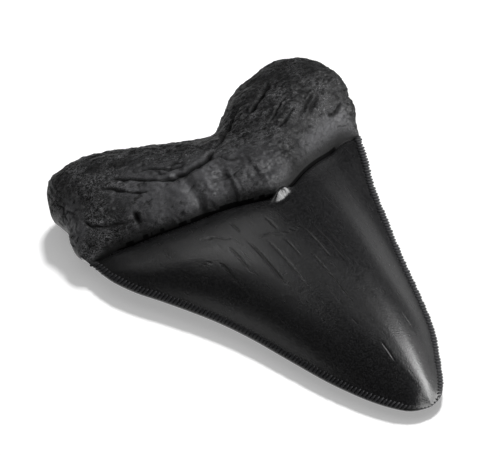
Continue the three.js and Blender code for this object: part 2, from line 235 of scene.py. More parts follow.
def upper_height(along, across, edge_distance):
    """The upper face: a rounded root that falls to the neck, and a crown that thins to the tip."""
    rim = rim_height(along)
    to_tip = np.clip(along, 0, 1)
    lens = section(to_tip, across)
    taper = (NECK_TOP - RIM_AT_SHOULDERS) * (1 - to_tip) ** CROWN_TAPER
    belly = CROWN_BELLY * 4 * to_tip * (1 - to_tip)
    arch = taper + belly + 2 * TIP_BLUNTNESS * to_tip * np.sqrt(1 - to_tip)
    bevel = 1 - (1 - np.clip(edge_distance / EDGE_BEVEL, 0, 1)) ** 2
    lip = EDGE_RADIUS * quarter_round(edge_distance / EDGE_RADIUS) + EDGE_BEVEL_RISE * bevel
    flare = np.tanh(edge_distance / EDGE_FLARE)
    crown = rim + arch * lens * flare + lip * (1 - lens) * smooth(*EDGE_BEGINS, along)
    down = np.clip(1 + along, 0, 1)
    top = blend(ROOT_TOP_AT_SIDES, ROOT_TOP, (1 - across**2) * smooth(*ROOT_ARCHED, down))
    root = blend(rim, top, quarter_round(edge_distance / ROOT_RIM_RADIUS))
    fall = np.clip((down - ROOT_FRONT_START) / (1 - ROOT_FRONT_START), 0, 1)
    neck = rim + (NECK_TOP - RIM_AT_SHOULDERS) * lens * flare
    root = blend(neck, root, 1 - fall**ROOT_FRONT_POWER)
    return np.where(along < 0, root, crown)


def lower_height(along, edge_distance):
    """The lower face, on which the tooth rests."""
    rim = rim_height(along)
    edge = EDGE_RADIUS * smooth(*EDGE_BEGINS, along)
    sunk = (1 - np.clip(edge_distance / LOWER_FACE_ROUNDING, 0, 1)) ** LOWER_FACE_POWER
    crown = (rim - edge) * sunk + edge * (1 - quarter_round(edge_distance / EDGE_RADIUS))
    root = rim * (1 - quarter_round(edge_distance / ROOT_RIM_RADIUS))
    return np.where(along < 0, blend(root, crown, smooth(*LOWER_FACE_BLEND, 1 + along)), crown)


# The upper face is a fine grid. Its rows and columns crowd at the rim, where the form turns over: each band
# is as wide as the first value, and holds the second as its share of the rows or columns.
ROOT_ROWS = 124
CROWN_ROWS = 136
HALF_COLUMNS = 148
ROOT_CROWDING = (0.25, 0.3437)
COLUMN_CROWDING = (0.2, 0.282)
CROWN_ROW_POWER = 1.35
TIP_CROWDING = 0.3


def crowded(share, band, crowded_share):
    """Places from 0 to 1 that are crowded in the first band, and even after it."""
    near = band * (1 - np.cos(np.pi / 2 * np.minimum(share / crowded_share, 1)))
    return near + np.maximum(share - crowded_share, 0) * band * np.pi / 2 / crowded_share


root_rows = crowded(np.arange(ROOT_ROWS) / ROOT_ROWS, *ROOT_CROWDING) - 1
crown_share = np.arange(CROWN_ROWS + 1) / CROWN_ROWS
crown_rows = blend(crown_share**CROWN_ROW_POWER, np.sin(np.pi / 2 * crown_share), TIP_CROWDING)
half = 1 - crowded(np.arange(HALF_COLUMNS + 1) / HALF_COLUMNS, *COLUMN_CROWDING)
columns = np.concatenate([-half, half[-2::-1]])
along, across = np.meshgrid(np.concatenate([root_rows, crown_rows]), columns, indexing="ij")
ground = plan(along, across)
plan_x = ground[..., 0]
plan_y = ground[..., 1]
border = np.concatenate([ground[0], ground[1:, -1], ground[-1, -2::-1], ground[-2:0:-1, 0]])
edge_distance = distance_to_line(ground, border[::2], closed=True)
edge_distance[[0, -1]] = 0
edge_distance[:, [0, -1]] = 0
upper = np.dstack([ground, upper_height(along, across, edge_distance)])

# The mound of the nutrient hole is a smooth nodule whose top slopes down to the right and to the tip. The
# hole is sunk into it as a ring. A small pit lies in the root on the left.
MOUND = {"x": 4.8, "y": -23.6, "z": 20.5, "radii": (4.2, 2.0), "turn": -0.44}
MOUND_LEAN = (-0.33, 0.68)
MOUND_DOME = 0.05
MOUND_SKIRT = 1.6
HOLE = {"x": 5.3, "y": -23.5, "radius": 0.9, "depth": 0.3, "ring": 0.35}
SIDE_PIT = {"x": -29.6, "y": -5.4, "radii": (0.7, 1.2), "depth": 1.1}

from_mound = ground - [MOUND["x"], MOUND["y"]]
mound_axes = np.array([
    [math.cos(MOUND["turn"]), math.sin(MOUND["turn"])],
    [-math.sin(MOUND["turn"]), math.cos(MOUND["turn"])],
])
in_mound = (((from_mound @ mound_axes) / MOUND["radii"]) ** 2).sum(axis=-1)
clear_of_mound = 1 - bell(in_mound, MOUND_SKIRT)
mound_top = MOUND["z"] + from_mound @ MOUND_LEAN - MOUND_DOME * (from_mound**2).sum(axis=-1)
from_hole = np.linalg.norm(ground - [HOLE["x"], HOLE["y"]], axis=-1) / HOLE["radius"]
hole_ring = bell(from_hole - 1, HOLE["ring"])
mound_top -= HOLE["depth"] * hole_ring

# The neck is a furrow with soft shoulders, which runs out at both edges. It is a deeper and wider trough on
# the right, and the sharp cut along its bottom is deepest left of the middle.
NECK_FURROW = {"depth": 1.8, "reach": 2.8, "slant": 0.91, "even_from": 40, "fades": (0.75, 1)}
NECK_TROUGH = {"deeper": 1.0, "wider": 2.2, "begins": (4, 12), "ends": (30, 42)}
NECK_CUT = {"depth": 1.6, "half_width": 1.05, "above": 0.2, "fades": (0, 0.06)}
DEEPEST_CUT = {"x": -5, "reach": 9, "deeper": 1.3, "wider": 0.7}
SHALLOW_CUT = {"begins": (6, 14), "share": 0.6}

from_middle = np.abs(across)
above_neck = plan_y - plan(np.zeros_like(across), across)[..., 1]
in_trough = stretch_of(NECK_TROUGH["begins"], NECK_TROUGH["ends"], plan_x)
furrow_reach = NECK_FURROW["reach"] + NECK_TROUGH["wider"] * in_trough
from_neck = np.minimum(np.abs(above_neck), NECK_FURROW["even_from"])
furrow = np.exp(-from_neck * NECK_FURROW["slant"] / furrow_reach)
furrow *= 1 - smooth(*NECK_FURROW["fades"], from_middle)
upper[..., 2] -= (NECK_FURROW["depth"] + NECK_TROUGH["deeper"] * in_trough) * furrow
deepest = bell(plan_x - DEEPEST_CUT["x"], DEEPEST_CUT["reach"])
cut_width = NECK_CUT["half_width"] * (1 + DEEPEST_CUT["wider"] * deepest)
cut_depth = NECK_CUT["depth"] + DEEPEST_CUT["deeper"] * deepest
cut_depth *= 1 - SHALLOW_CUT["share"] * smooth(*SHALLOW_CUT["begins"], plan_x)
neck_cut = np.clip(1 - np.abs(above_neck - NECK_CUT["above"]) / cut_width, 0, 1)
upper[..., 2] -= cut_depth * neck_cut * smooth(*NECK_CUT["fades"], 1 - from_middle)
upper[..., 2] = blend(upper[..., 2], mound_top, bell(in_mound, 1))

# The lower face has every second row and column of the same grid
lower_along = along[::2, ::2]
lower_across = across[::2, ::2]
lower_edge_distance = edge_distance[::2, ::2]
lower = np.dstack([ground[::2, ::2], lower_height(lower_along, lower_edge_distance)])


def grid_normals(points, side):
    by_row = np.gradient(points, axis=0)
    by_column = np.gradient(points, axis=1)
    normals = np.cross(by_column, by_row) * -side
    return normals / np.maximum(np.linalg.norm(normals, axis=-1, keepdims=True), 1e-9)


def lumps(points, size, octaves=1, stretch=(1, 1, 1)):
    """Smooth random relief from about -1 to 1, with lumps about size millimetres across."""
    scaled = (points / (size * np.array(stretch))).reshape(-1, 3)
    heights = [noise.fractal(Vector(place), 1, 2, octaves) for place in scaled]
    return np.array(heights).reshape(points.shape[:-1])


def pores(points, size, reach):
    """Pits from 0 to 1 round the middle of each grain, with grains about size millimetres across."""
    scaled = (points / size).reshape(-1, 3)
    away = [noise.voronoi(Vector(place))[0][0] for place in scaled]
    return np.clip(1 - np.array(away).reshape(points.shape[:-1]) / reach, 0, 1)


# Creases of the root, each with its width, its depth and its course
CREASES = [
    [1.1, 0.8, [[-31, 6.4], [-26.5, 3.3], [-23, 0.1], [-19, -2.9], [-16, -4.1]]],
    [1.8, 1.8, [[-21, -1.4], [-19, -2.9], [-16, -4.1], [-8.5, -5], [-1, -2.6]]],
    [1.3, 1.2, [[-6, -4.3], [-3.9, -3.5], [2.3, -1.5], [8, -2], [13.7, -3.2]]],
    [1.0, 1.0, [[17, -4.6], [20.5, -2.4], [26.7, 1.3]]],
    [1.3, 1.0, [[-3.8, -2.4], [2.7, 1.4], [9.2, 6.6], [14.3, 10.6]]],
    [2.0, 1.8, [[13.3, 4.6], [17.3, 7], [22.8, 10.7], [26.5, 14.1]]],
    [0.9, 0.9, [[26.5, -2.2], [28.9, 0.3], [35.1, 4.6]]],
    [0.9, 0.9, [[29.6, -1.5], [32.1, 1.1], [36.1, 3.6]]],
    [1.0, 1.0, [[35.5, -1.4], [38.4, -0.1], [41.7, 1.2]]],
    [0.9, 0.8, [[16.8, -0.7], [20.4, 1.1], [26.4, 6]]],
    [0.9, 0.7, [[-35.8, 5.7], [-32.2, 4], [-29.5, 0.8], [-26.3, -1.5], [-23, -3.7]]],
    [1.0, 0.8, [[-24.3, 4.3], [-19.3, 1.7], [-15.6, -1.3], [-10.9, -2.4]]],
    [1.1, 0.9, [[-42.5, 3], [-40.6, 0.2], [-35.8, -3], [-31.1, -5.6]]],
]
CREASE_WANDER = 0.6

# Lengthwise cracks in the enamel, each as x, where it starts and ends along y, and its depth
CRACKS = [
    [-21.3, -32.5, -39.5, 0.25], [-17.3, -30, -40.5, 0.2], [-12.6, -32, -50.5, 0.35],
    [-8.6, -36, -53, 0.25], [-4.8, -38, -46, 0.15], [-1.8, -45, -66, 0.3], [1.6, -38, -50.5, 0.25],
    [4.4, -38, -54, 0.2], [6.7, -38, -51, 0.15], [8.3, -38, -41, 0.15], [-12.5, -23.6, -29, 0.2],
    [-4.5, -28.7, -35, 0.15], [-4.6, -55, -64.5, 0.1], [-2.1, -78.5, -84.7, 0.12],
    [-8.4, -58.5, -60.8, 0.1], [-4.6, -69, -71, 0.1], [8.8, -72, -77, 0.1],
]
CRACK_WIDTH = 0.54
CRACK_WANDER = 0.05
CRACK_BOW = 0.15

# Cracks that cross the enamel, each with its depth and its course
CROSS_CRACKS = [
    [0.2, [[-10, -33.8], [-7, -34.6], [-4.4, -36.2], [-0.9, -36.7], [2.8, -36.3]]],
    [0.25, [[-21.4, -22.9], [-17.7, -25.9], [-15, -29.4]]],
    [0.2, [[-25, -30.1], [-24.2, -29.6], [-22.8, -30.7]]],
]
CROSS_CRACK_WIDTH = 0.5
CROSS_CRACK_WANDER = 0.3

# Broad folds of the root's front, each with its height, its width and its course down to the neck
FOLDS = [
    [0.9, 5.0, [[-10, -4.5], [-10.4, -8], [-10.8, -13.5]]],
    [-0.6, 2.4, [[-14.3, -5], [-14.2, -9.5], [-14.1, -14]]],
    [0.6, 5.0, [[-17.8, -5.5], [-18.2, -9], [-18.6, -13.5]]],
    [-0.6, 3.6, [[-5, -6], [-5, -10], [-5.5, -16]]],
    [0.4, 1.2, [[3.4, -9], [3.3, -13], [3.6, -18]]],
    [-0.2, 1.6, [[2.2, -9], [2.1, -13], [2.4, -18]]],
    [0.3, 1.0, [[-3.4, -9], [-3.9, -13], [-4.6, -17.5]]],
    [-0.3, 3.0, [[8, -7], [7.6, -13], [7, -18]]],
]
FOLD_ENDS = (0.05, 0.15)
FOLDS_END_AT_NECK = (-0.5, 1.5)
FOLD_MARGIN = 3

# How steeply folds and grooves run out at their ends, and how far round a groove the grid is looked through
FOLD_RUN_OUT = 4
GROOVE_RUN_OUT = 5
GROOVE_MARGIN = 2

# A course is followed in this many steps, and it wanders in bends about this long
COURSE_STEPS = 40
WANDER_SIZE = 3.1

# Each groove carries painted shade to near its rim, unless it is a shallow one
DARK_SHARE = 1.4
SHALLOW_GROOVE = 0.25


def beside_course(points, course):
    """Distance of each of points from a course, and the share of its length that it is nearest to."""
    shares = np.linspace(0, 1, COURSE_STEPS)
    line = curve_through(course, shares)
    nearest = ((points[..., None, :] - line) ** 2).sum(axis=-1).argmin(axis=-1)
    return distance_to_line(points, line), shares[nearest]


def groove(points, course, width, depth, wander):
    """Depth of a V-shaped groove along a course, which runs out at both ends."""
    sideways = [lumps(points + offset, WANDER_SIZE, 2) for offset in ([0, 0, 0], [40, 0, 0])]
    away, share = beside_course(points[..., :2] + wander * np.dstack(sideways), course)
    run_out = np.minimum(1, GROOVE_RUN_OUT * np.minimum(share, 1 - share))
    wall = np.clip(1 - away / (width / 2), 0, 1)
    return depth * run_out * wall


def window_round(points, course, margin):
    """Rows and columns of the grid that hold a course."""
    low = np.min(course, axis=0) - margin
    high = np.max(course, axis=0) + margin
    around = ((points[..., :2] > low) & (points[..., :2] < high)).all(axis=-1)
    rows_used = np.nonzero(around.any(axis=1))[0]
    columns_used = np.nonzero(around.any(axis=0))[0]
    return np.s_[rows_used[0]:rows_used[-1] + 1, columns_used[0]:columns_used[-1] + 1]


# The root is rough but for the neck and the mound, and the right half of its front is worn smooth
SMOOTH_BAND = {"begins": (14, 26), "ends": (40, 44), "above_neck": (3.5, 7), "smoother": 0.55}
ROUGH_FROM = 0.2
ROUGH_ON_LEFT = 1.6
ROUGH_ON_RIGHT = 4
LEFT_TO_RIGHT = (-15, 5)
ENAMEL_BORDER = (-0.4, 0.4)

top_normals = grid_normals(upper, 1)
enamel = smooth(*ENAMEL_BORDER, -above_neck)
smooth_band = stretch_of(SMOOTH_BAND["begins"], SMOOTH_BAND["ends"], plan_x)
smooth_band *= 1 - smooth(*SMOOTH_BAND["above_neck"], above_neck)
rough_to = blend(ROUGH_ON_LEFT, ROUGH_ON_RIGHT, smooth(*LEFT_TO_RIGHT, plan_x))
rough_root = smooth(ROUGH_FROM, rough_to, above_neck) * clear_of_mound
rough_root *= 1 - SMOOTH_BAND["smoother"] * smooth_band

# Lumps of the root, each with its height, its size, its octaves and how it is drawn out
ROOT_LUMPS = [
    [0.7, 13, 2, (1, 1, 1)],
    [0.4, 4.5, 3, (2, 1, 1)],
    [0.26, 1.0, 2, (1.5, 1, 1)],
]
PORES = {"depth": 0.35, "size": 1.7, "reach": 0.45, "patches": 9, "patch_border": (-0.2, 0.4)}
WRINKLES = {
    "depth": 0.5, "size": 5, "drawn_out": (2.4, 1, 1), "offset": (7, 3, 0), "thin": 0.07,
    "patches": 11, "patch_border": (-0.1, 0.3), "darkness": 0.7,
}

relief = np.zeros(along.shape)
for lump_height, lump_size, octaves, drawn_out in ROOT_LUMPS:
    relief += rough_root * lump_height * lumps(upper, lump_size, octaves, drawn_out)
pitted = pores(upper, PORES["size"], PORES["reach"])
pitted *= smooth(*PORES["patch_border"], lumps(upper, PORES["patches"]))
relief -= rough_root * PORES["depth"] * pitted
wrinkled = lumps(upper + WRINKLES["offset"], WRINKLES["size"], 3, WRINKLES["drawn_out"])
wrinkles = bell(wrinkled, WRINKLES["thin"])
wrinkles *= smooth(*WRINKLES["patch_border"], lumps(upper, WRINKLES["patches"]))
relief -= rough_root * WRINKLES["depth"] * wrinkles
side_pit = bell((((ground - [SIDE_PIT["x"], SIDE_PIT["y"]]) / SIDE_PIT["radii"]) ** 2).sum(axis=-1), 1)
relief -= SIDE_PIT["depth"] * side_pit

# Painted shade in what lies deep: the pits, the hole's ring, the wrinkles and each groove are painted dark
painted_shade = np.maximum(side_pit, hole_ring)
painted_shade = np.maximum(painted_shade, WRINKLES["darkness"] * rough_root * wrinkles)

for fold_height, width, course in FOLDS:
    window = window_round(upper, course, width + FOLD_MARGIN)
    away, share = beside_course(upper[window][..., :2], course)
    run_out = np.minimum(1, FOLD_RUN_OUT * np.minimum(share + FOLD_ENDS[0], 1 - share + FOLD_ENDS[1]))
    fold = fold_height * run_out * bell(away, width / 2)
    relief[window] += smooth(*FOLDS_END_AT_NECK, above_neck[window]) * fold

grooves = [[width, depth, CREASE_WANDER, course] for width, depth, course in CREASES]
grooves += [
    [CRACK_WIDTH, depth, CRACK_WANDER, [[x, start], [x + CRACK_BOW, (start + end) / 2], [x, end]]]
    for x, start, end, depth in CRACKS
]
grooves += [[CROSS_CRACK_WIDTH, depth, CROSS_CRACK_WANDER, course] for depth, course in CROSS_CRACKS]
for width, depth, wander, course in grooves:
    window = window_round(upper, course, width + GROOVE_MARGIN)
    cut = groove(upper[window], course, width, depth, wander)
    darkness = np.minimum(1, DARK_SHARE * cut / max(depth, SHALLOW_GROOVE))
    relief[window] -= cut
    painted_shade[window] = np.maximum(painted_shade[window], darkness)

# The enamel rolls gently lengthwise, and the relief runs out at the cutting edges
ROLLING = {"height": 0.04, "size": 5, "stretch": (1, 6, 1), "from_edge": (0, 6)}
EDGE_CALM = (0, 1.5)

rolling = lumps(upper, ROLLING["size"], 2, ROLLING["stretch"]) * smooth(*ROLLING["from_edge"], edge_distance)
relief += enamel * ROLLING["height"] * rolling
relief *= np.where(along < 0, 1, smooth(*EDGE_CALM, edge_distance))
upper += top_normals * relief[..., None]

# The underside of the root is lumpy too. Its neck is bowed, and nothing there reaches below the floor.
UNDERSIDE = {"height": 0.3, "size": 6, "sunk": 0.35, "from_edge": (0, 3)}
UNDERSIDE_NECK = (-0.14, -0.11)
UNDERSIDE_NECK_BOW = 0.05

low_enamel = smooth(*UNDERSIDE_NECK, lower_along + UNDERSIDE_NECK_BOW * lower_across**2)
low_relief = UNDERSIDE["height"] * lumps(lower, UNDERSIDE["size"], 3) - UNDERSIDE["sunk"]
low_relief *= (1 - low_enamel) * smooth(*UNDERSIDE["from_edge"], lower_edge_distance)
lower += grid_normals(lower, -1) * low_relief[..., None]
lower[..., 2] = np.maximum(lower[..., 2], 0)

# Both faces close into one mesh: the lower face shares the border points of the upper one
inside = np.s_[1:-1, 1:-1]
upper_index = np.arange(along.size).reshape(along.shape)
lower_index = np.full(lower_along.shape, -1)
lower_index[inside] = along.size + np.arange(lower_index[inside].size).reshape(lower_index[inside].shape)
lower_index[[0, -1]] = upper_index[[0, -1]][:, ::2]
lower_index[:, [0, -1]] = upper_index[::2][:, [0, -1]]
tip_index = upper_index[-1, 0]
upper_index[-1] = tip_index
lower_index[-1] = tip_index
faces = []
for i in range(upper_index.shape[0] - 1):
    for j in range(upper_index.shape[1] - 1):
        near_side = [upper_index[i, j], upper_index[i + 1, j]]
        faces.append(near_side + [upper_index[i + 1, j + 1], upper_index[i, j + 1]])
for i in range(lower_index.shape[0] - 1):
    for j in range(lower_index.shape[1] - 1):
        corners = [lower_index[i, j]]
        if i == 0:
            corners.append(upper_index[0, 2 * j + 1])
        corners.append(lower_index[i, j + 1])
        if j == lower_index.shape[1] - 2:
            corners.append(upper_index[2 * i + 1, -1])
        corners += [lower_index[i + 1, j + 1], lower_index[i + 1, j]]
        if j == 0:
            corners.append(upper_index[2 * i + 1, 0])
        faces.append(corners)
faces = [list(dict.fromkeys(int(corner) for corner in face)) for face in faces]
faces = [face for face in faces if len(face) > 2]


def mesh_object(name, vertices, polygons):
    mesh = bpy.data.meshes.new(name)
    mesh.from_pydata([tuple(vertex) for vertex in vertices], [], polygons)
    piece = bpy.data.objects.new(name, mesh)
    bpy.context.scene.collection.objects.link(piece)
    return piece


# The outline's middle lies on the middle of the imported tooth's box
OUTLINE_STEPS = 200
box_low, box_high = (np.array(corner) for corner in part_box("tooth"))
outline = np.concatenate([
    curve_through(line, np.linspace(0, 1, OUTLINE_STEPS))
    for line in (LEFT_SIDE, RIGHT_SIDE, LEFT_EDGE, RIGHT_EDGE, BASE_MARGIN)
])
outline_middle = (outline.min(axis=0) + outline.max(axis=0)) / 2
shift = np.append(-outline_middle, 0) * MM + np.append((box_low + box_high)[:2] / 2, box_low[2])
points = np.concatenate([upper.reshape(-1, 3), lower[inside].reshape(-1, 3)])
tooth_body = mesh_object("tooth_body", points * MM + shift, faces)

# How high the grain stands: full on the lobes, and lower on the worn front, on the band and at the neck
WORN_AND_LIT_FRONT = {"down": (0.35, 0.7), "ends_on_left": (0.5, 0.8), "lower": 0.35, "ends_on_right": (8, 16)}
BAND_LOWER = 0.3
GRAIN_FROM_NECK = (0.3, 1.5)

worn_and_lit_front = smooth(*WORN_AND_LIT_FRONT["down"], 1 + along) * (1 - smooth(*WORN_AND_LIT_FRONT["ends_on_left"], -across))
left_of_band = 1 - smooth(*WORN_AND_LIT_FRONT["ends_on_right"], plan_x)
grain_height = smooth(*GRAIN_FROM_NECK, above_neck) * (1 - WORN_AND_LIT_FRONT["lower"] * worn_and_lit_front * left_of_band)
grain_height *= 1 - BAND_LOWER * smooth_band

# More painted shade: on the cutting edges between the serrations, in the dip of the neck, and over the right
# lobe
EDGE_DARK = (0.7, 1.1)
EDGE_DARK_WEAR = (0.95, 0.98)
NECK_SHADE = {"above": 0.4, "cut_share": 1.3, "trough_share": 0.8, "from_edge": (0, 6)}
RIGHT_LOBE_DARK = {"x": (16, 26), "above_neck": (4.5, 9), "share": 0.3}

edge_dark = (1 - smooth(*EDGE_DARK, edge_distance)) * stretch_of(SERRATIONS_BEGIN, EDGE_DARK_WEAR, along)
shade_width = NECK_SHADE["cut_share"] * cut_width + NECK_SHADE["trough_share"] * in_trough
neck_shade = bell(above_neck - NECK_SHADE["above"], shade_width)
neck_shade *= smooth(*NECK_SHADE["from_edge"], edge_distance) * clear_of_mound
right_lobe = smooth(*RIGHT_LOBE_DARK["x"], plan_x) * smooth(*RIGHT_LOBE_DARK["above_neck"], above_neck)
for darkness in (edge_dark, neck_shade, RIGHT_LOBE_DARK["share"] * right_lobe):
    painted_shade = np.maximum(painted_shade, darkness)

# Where the root is painted lighter grey: its worn front, most on the left, and its smooth band, partly wear
# and partly painted light, and its left end wall, which is painted light
RUBBED_AND_LIT_LESS = {"x": (-8, 2), "less": 0.5}
RUBBED_AND_LIT_BAND = 0.9
RUBBED_AND_LIT_FROM_NECK = (0, 2.5)
LIT_END_WALL = {"from_edge": (2, 5), "x": (-41, -38), "begins": (-2, 1), "ends": (8, 12)}

rubbed_and_lit = worn_and_lit_front * (1 - RUBBED_AND_LIT_LESS["less"] * smooth(*RUBBED_AND_LIT_LESS["x"], plan_x)) * left_of_band
rubbed_and_lit = np.maximum(rubbed_and_lit, RUBBED_AND_LIT_BAND * smooth_band) * smooth(*RUBBED_AND_LIT_FROM_NECK, above_neck)
lit_end_wall = (1 - smooth(*LIT_END_WALL["from_edge"], edge_distance)) * (1 - smooth(*LIT_END_WALL["x"], plan_x))
lit_end_wall *= stretch_of(LIT_END_WALL["begins"], LIT_END_WALL["ends"], plan_y)
rubbed_and_lit = np.maximum(rubbed_and_lit, lit_end_wall)

# Where the dull black film of painted shade lies in the neck's cut, with an uneven border
NECK_SHADE_FILM = {"above": 0.2, "cut_share": 0.62, "narrower": 0.2, "fades": (0.72, 0.95)}
SHADE_FILM_BORDER = {"uneven": 0.2, "lumps": 1.6}

shade_film_width = NECK_SHADE_FILM["cut_share"] * cut_width * (1 - NECK_SHADE_FILM["narrower"] * in_trough)
shade_film_width *= 1 + SHADE_FILM_BORDER["uneven"] * lumps(upper, SHADE_FILM_BORDER["lumps"], 2)
shade_film = bell(above_neck - NECK_SHADE_FILM["above"], shade_film_width) * clear_of_mound
shade_film *= 1 - smooth(*NECK_SHADE_FILM["fades"], from_middle)


def both_faces(upper_values, lower_values):
    """One value for each point of the mesh."""
    return np.concatenate([upper_values.ravel(), lower_values[inside].ravel()])


nowhere_below = np.zeros(lower_along.shape)
attributes = {
    "painted_shade": both_faces(painted_shade, nowhere_below),
    "grain": both_faces(grain_height, 1 - low_enamel),
    "rubbed_and_lit": both_faces(rubbed_and_lit, nowhere_below),
}
for name, values in attributes.items():
    attribute = tooth_body.data.attributes.new(name, "FLOAT", "POINT")
    attribute.data.foreach_set("value", values.astype(np.float32))
tooth_body.data.shade_smooth()


def linear(colour):
    """An sRGB hex colour as the linear values that a shader takes."""
    channels = [int(colour[i:i + 2], 16) / 255 for i in (1, 3, 5)]
    return [c / 12.92 if c <= 0.04045 else ((c + 0.055) / 1.055) ** 2.4 for c in channels] + [1]


def add(tree, kind, settings=None, **links):
    """Adds a node, with its settings, and its inputs as sockets or values.

    An input goes by its name, or as i6 and the like by its place where names repeat. The factor of a Mix is
    i0, its two values are i2 and i3, and its two colours are i6 and i7.
    """
    node = tree.nodes.new(kind)
    for key, value in (settings or {}).items():
        setattr(node, key, value)
    for key, value in links.items():
        name = key.replace("_", " ")
        by_place = name[0] == "i" and name[1:].isdigit()
        socket = node.inputs[int(name[1:])] if by_place else node.inputs[name]
        if isinstance(value, bpy.types.NodeSocket):
            tree.links.new(value, socket)
        else:
            socket.default_value = value
    return node


# Black fossil dentine: porous phosphate filled with dark minerals, rubbed and cracked by the sea. It looks
# dull and leathery, with grey crests, partly wear and partly painted glints, and fine fissures. Its creases,
# pits and fissures are painted black as painted shade; its rubbed front and band are painted lighter grey,
# partly wear and partly painted light, and its left end wall is painted light. The real grain is too fine
# to show, so it is drawn coarser.
ROOT_BLACK = "#060607"
WEAR_AND_GLINT_GREY = "#8c8c8e"
RUBBED_AND_LIT_GREY = "#4a4a4c"
PAINTED_SHADE_BLACK = "#020202"
DENTINE_IOR = 1.33
ROOT_ROUGHNESS = (0.34, 0.52)
PAINTED_SHADE_ROUGHNESS = 0.7
ROOT_GRAIN = 0.48
GRAIN_STRETCH = (0.55, 1, 0.8)
CREST_REACH = (0.012, 0.055)
CREST_RELIEF = 0.29
FISSURE_LENGTH = 1.9
FISSURE_STRETCH = (0.4, 1.3, 1)
FISSURE_TURN = 0.3
FISSURE_REACH = (0.37, 0.42)
FISSURE_RELIEF = 0.3
MOTTLE_SIZE = 7
MOTTLE_REACH = (0.3, 0.7)
WEAR_AND_GLINT_PATCHES = (0.38, 0.66)
WEAR_AND_GLINT_SHARE = (0.05, 0.66)
MOST_RUBBED_AND_LIT = 0.75

dentine = bpy.data.materials.new("black_fossil_dentine")
dentine.use_nodes = True
tree = dentine.node_tree
tree.nodes.clear()
place = add(tree, "ShaderNodeTexCoord").outputs["Object"]
in_painted_shade = add(tree, "ShaderNodeAttribute", {"attribute_name": "painted_shade"}).outputs["Fac"]
stands = add(tree, "ShaderNodeAttribute", {"attribute_name": "grain"}).outputs["Fac"]
is_rubbed_and_lit = add(tree, "ShaderNodeAttribute", {"attribute_name": "rubbed_and_lit"}).outputs["Fac"]
streaked = add(tree, "ShaderNodeMapping", Vector=place, Scale=GRAIN_STRETCH).outputs["Vector"]
grain = add(
    tree, "ShaderNodeTexNoise", Vector=streaked, Scale=1 / (ROOT_GRAIN * MM), Detail=2.0, Roughness=0.55,
    Distortion=0.8,
).outputs["Fac"]
strewn = add(
    tree, "ShaderNodeMapping", Vector=place, Scale=FISSURE_STRETCH, Rotation=(0, 0, FISSURE_TURN),
).outputs["Vector"]
fissures = add(
    tree, "ShaderNodeTexNoise", Vector=strewn, Scale=1 / (FISSURE_LENGTH * MM), Detail=4.0, Roughness=0.65,
).outputs["Fac"]
fissure = add(
    tree, "ShaderNodeMapRange", Value=fissures, From_Min=FISSURE_REACH[0], From_Max=FISSURE_REACH[1],
    To_Min=1.0, To_Max=0.0,
).outputs["Result"]
fissure = add(tree, "ShaderNodeMath", {"operation": "MULTIPLY"}, i0=fissure, i1=stands).outputs[0]
mottle = add(
    tree, "ShaderNodeTexNoise", Vector=place, Scale=1 / (MOTTLE_SIZE * MM), Detail=3.0, Roughness=0.6,
).outputs["Fac"]
off_crest = add(tree, "ShaderNodeMath", {"operation": "SUBTRACT"}, i0=grain, i1=0.5).outputs[0]
off_crest = add(tree, "ShaderNodeMath", {"operation": "ABSOLUTE"}, i0=off_crest).outputs[0]
crest = add(
    tree, "ShaderNodeMapRange", Value=off_crest, From_Min=CREST_REACH[0], From_Max=CREST_REACH[1],
    To_Min=1.0, To_Max=0.0,
).outputs["Result"]
patchy = add(
    tree, "ShaderNodeMapRange", Value=mottle, From_Min=WEAR_AND_GLINT_PATCHES[0], From_Max=WEAR_AND_GLINT_PATCHES[1],
    To_Min=WEAR_AND_GLINT_SHARE[0], To_Max=WEAR_AND_GLINT_SHARE[1],
).outputs["Result"]
# Grey crests, partly wear and partly painted glints
wear_and_glints = add(tree, "ShaderNodeMath", {"operation": "MULTIPLY"}, i0=crest, i1=patchy).outputs[0]
wear_and_glints = add(tree, "ShaderNodeMath", {"operation": "MULTIPLY"}, i0=wear_and_glints, i1=stands).outputs[0]
colour = add(
    tree, "ShaderNodeMix", {"data_type": "RGBA"}, i0=wear_and_glints, i6=linear(ROOT_BLACK), i7=linear(WEAR_AND_GLINT_GREY),
).outputs[2]
# Painted light: the rubbed front and band are painted lighter grey, partly wear, and the left end wall is
# painted light
rubbed_and_lit_share = add(tree, "ShaderNodeMath", {"operation": "MULTIPLY"}, i0=is_rubbed_and_lit, i1=MOST_RUBBED_AND_LIT).outputs[0]
colour = add(
    tree, "ShaderNodeMix", {"data_type": "RGBA"}, i0=rubbed_and_lit_share, i6=colour, i7=linear(RUBBED_AND_LIT_GREY),
).outputs[2]
# Painted shade: the fissures join the creases, pits, wrinkles, grooves, neck and right lobe, which are all
# painted black
in_painted_shade = add(tree, "ShaderNodeMath", {"operation": "MAXIMUM"}, i0=in_painted_shade, i1=fissure).outputs[0]
dark = add(
    tree, "ShaderNodeMix", {"data_type": "RGBA"}, i0=in_painted_shade, i6=colour, i7=linear(PAINTED_SHADE_BLACK),
).outputs[2]
rough = add(
    tree, "ShaderNodeMapRange", Value=mottle, From_Min=MOTTLE_REACH[0], From_Max=MOTTLE_REACH[1],
    To_Min=ROOT_ROUGHNESS[0], To_Max=ROOT_ROUGHNESS[1],
).outputs["Result"]
rough = add(tree, "ShaderNodeMix", i0=in_painted_shade, i2=rough, i3=PAINTED_SHADE_ROUGHNESS).outputs[0]
normal = add(
    tree, "ShaderNodeBump", Strength=stands, Distance=CREST_RELIEF * MM, Height=crest,
).outputs["Normal"]
open_surface = add(tree, "ShaderNodeMath", {"operation": "SUBTRACT"}, i0=1.0, i1=fissure).outputs[0]
normal = add(
    tree, "ShaderNodeBump", Strength=0.8, Distance=FISSURE_RELIEF * MM, Height=open_surface, Normal=normal,
).outputs["Normal"]
